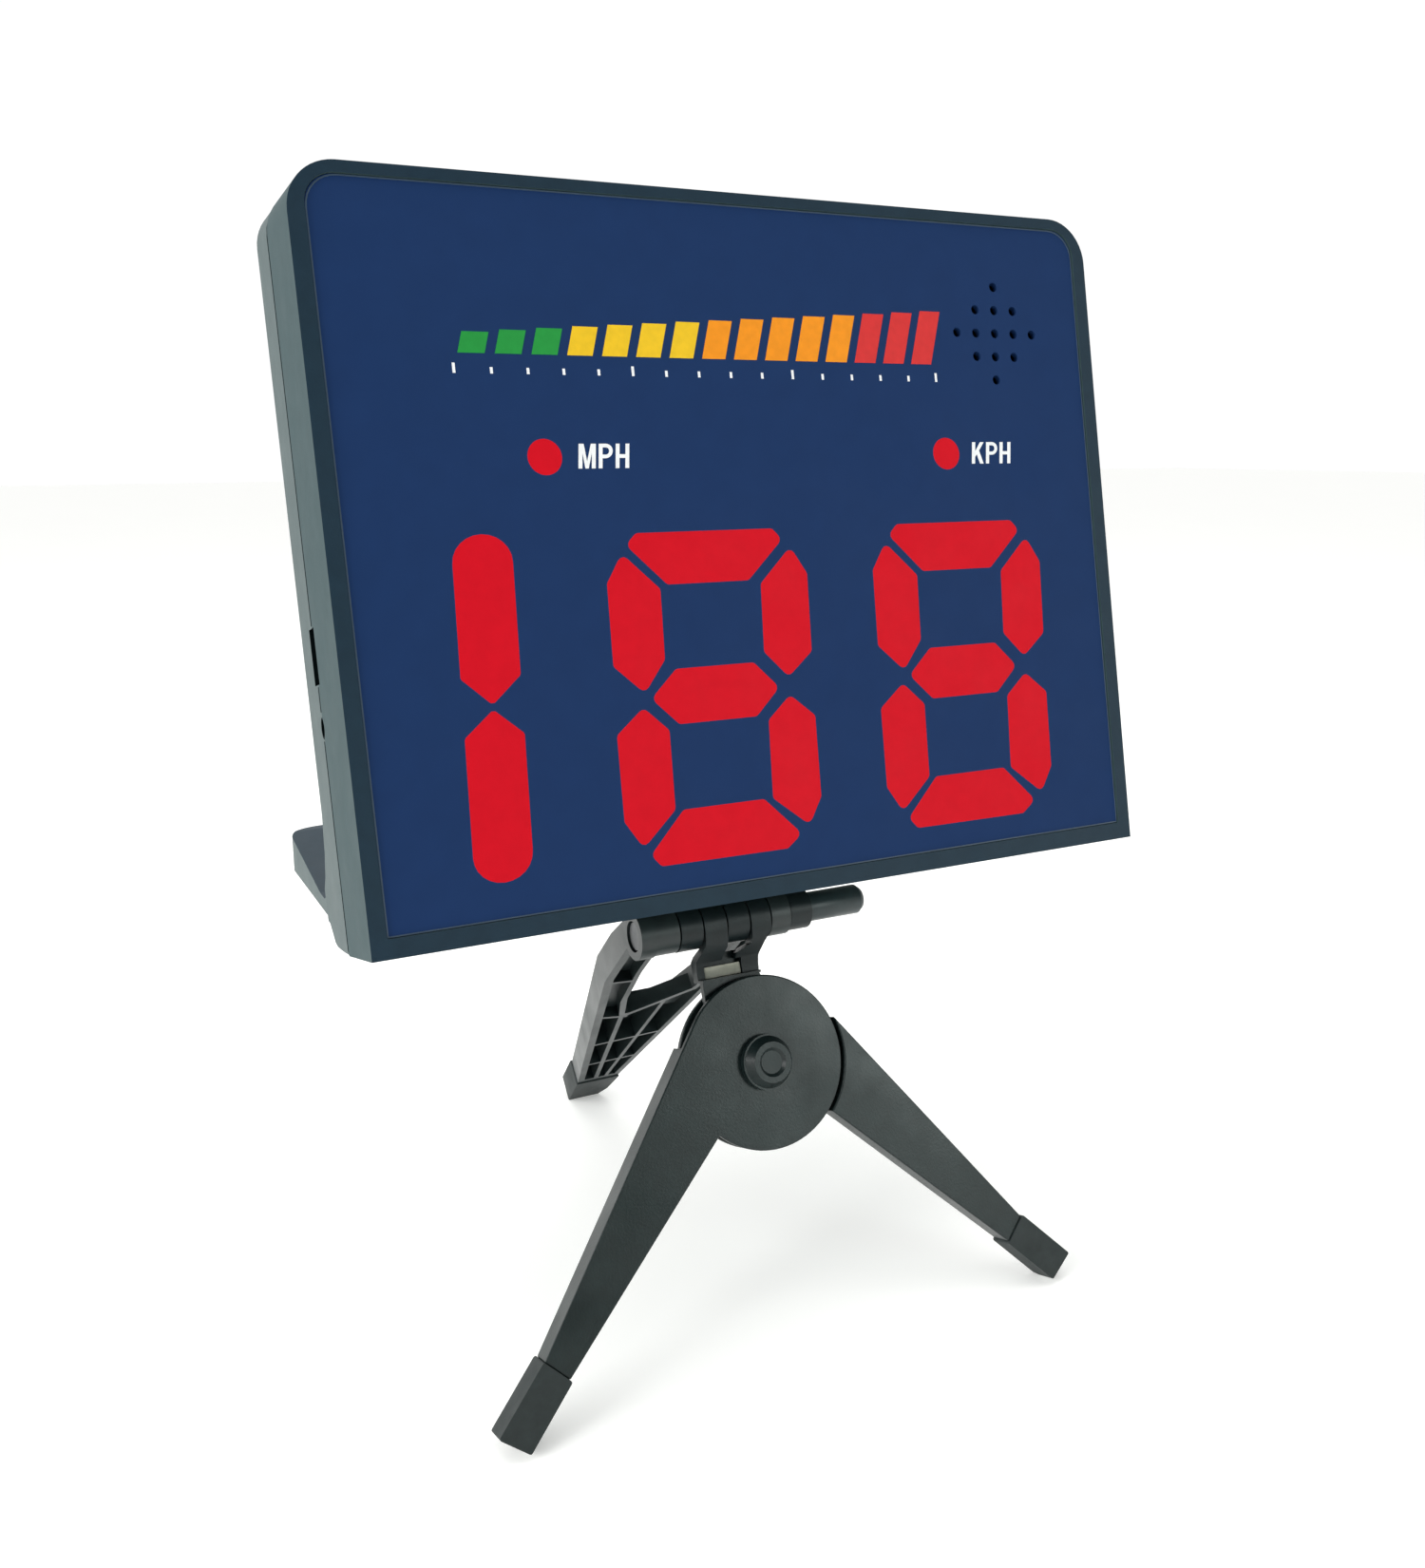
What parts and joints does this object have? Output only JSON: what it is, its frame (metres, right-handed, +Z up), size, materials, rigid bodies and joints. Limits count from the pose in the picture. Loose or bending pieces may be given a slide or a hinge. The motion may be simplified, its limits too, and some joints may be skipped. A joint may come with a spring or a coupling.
{
  "type": "sports speed display radar",
  "caption": "Sports speed radar with large seven-segment digits and unit lamps on a leaning panel, standing on a folding tripod with a clamped barrel hinge.",
  "frame": {"origin": "on the floor, under the middle of the object's box", "axes": "+Z up, +Y towards the back, +X to the right seen from the front"},
  "size_m": [0.1806, 0.1502, 0.2496],
  "materials": {
    "bezel_plastic": "fine satin texture",
    "shell_plastic": "fine satin texture",
    "panel_navy": "printed film, satin",
    "lens_red": "translucent red, satin",
    "reflector_white": "matte",
    "circuit_board": "solder mask",
    "led": "clear resin",
    "copper_gold": "plated",
    "steel": "satin",
    "chip_black": "matte",
    "clear_plastic": "clear",
    "cone_paper": "matte",
    "cell_wrap": "shrink wrap",
    "brass_insert": "knurled",
    "rubber": "matte",
    "button_red": "satin",
    "button_dark": "satin",
    "tripod_plastic": "moulded, satin",
    "block_zinc": "cast"
  },
  "bodies": {
    "yoke": {"yoke": "tripod_plastic", "hinge_bolt": "steel", "tension_block": "block_zinc", "pivot_rivet": "tripod_plastic"},
    "head": {"front_bezel": "bezel_plastic", "rear_shell": "shell_plastic", "display_panel": "panel_navy", "hundreds_lens": "lens_red", "tens_lens": "lens_red", "units_lens": "lens_red", "mph_lens": "lens_red", "kph_lens": "lens_red", "digit_reflector": "reflector_white", "led_board": "circuit_board", "segment_leds": "led", "radar_board": "circuit_board", "antenna_patches": "copper_gold", "radar_shield": "steel", "main_board": "circuit_board", "board_chips": "chip_black", "board_header": "chip_black", "usb_socket": "steel", "charge_light_pipe": "clear_plastic", "tact_switches": "chip_black", "speaker_frame": "steel", "speaker_cone": "cone_paper", "speaker_magnet": "steel", "battery_cells": "cell_wrap", "battery_cradle": "chip_black", "battery_tabs": "steel", "tripod_insert": "brass_insert", "case_screws": "steel", "board_screws": "steel", "base_pads": "rubber", "mount_platform": "tripod_plastic", "platform_pad": "rubber"},
    "mount_screw": {"mount_screw": "tripod_plastic"},
    "clamp_knob": {"clamp_knob": "tripod_plastic"},
    "left_leg": {"left_leg": "tripod_plastic", "left_foot": "rubber"},
    "right_leg": {"right_leg": "tripod_plastic", "right_foot": "rubber"},
    "rear_leg": {"rear_leg": "tripod_plastic", "rear_foot": "rubber"},
    "power_button": {"power_button": "button_red"},
    "mode_button": {"mode_button": "button_dark"},
    "unit_button": {"unit_button": "button_dark"}
  },
  "joints": [
    {"name": "head_tilt", "type": "hinge", "parent": "yoke", "child": "head", "pos_m": [0, -0.03243, 0.0915], "axis": [1, 0, 0], "range_deg": [-13, 60]},
    {"name": "mount_screw_turn", "type": "hinge", "parent": "head", "child": "mount_screw", "pos_m": [0, -0.00849, 0.08987], "axis": [0, 0.068, 0.9977], "continuous": true},
    {"name": "clamp_knob_turn", "type": "hinge", "parent": "yoke", "child": "clamp_knob", "pos_m": [0.025, -0.03243, 0.0915], "axis": [1, 0, 0], "continuous": true},
    {"name": "left_leg_spread", "type": "hinge", "parent": "yoke", "child": "left_leg", "pos_m": [-0.0012, -0.04469, 0.06086], "axis": [0, -0.9285, 0.3714], "range_deg": [0, 44.5]},
    {"name": "right_leg_spread", "type": "hinge", "parent": "yoke", "child": "right_leg", "pos_m": [-0.0012, -0.04469, 0.06086], "axis": [0, 0.9285, -0.3714], "range_deg": [0, 44.5]},
    {"name": "rear_leg_fold", "type": "hinge", "parent": "yoke", "child": "rear_leg", "pos_m": [0, -0.03243, 0.0915], "axis": [1, 0, 0], "range_deg": [-68, 0]},
    {"name": "power_button_press", "type": "slide", "parent": "head", "child": "power_button", "axis": [0, -0.9767, 0.2147], "range_m": [0, 0.001], "stiffness_N_per_m": 700, "springref_m": -0.0008},
    {"name": "mode_button_press", "type": "slide", "parent": "head", "child": "mode_button", "axis": [0, -0.9767, 0.2147], "range_m": [0, 0.001], "stiffness_N_per_m": 700, "springref_m": -0.0008},
    {"name": "unit_button_press", "type": "slide", "parent": "head", "child": "unit_button", "axis": [0, -0.9767, 0.2147], "range_m": [0, 0.001], "stiffness_N_per_m": 700, "springref_m": -0.0008}
  ]
}
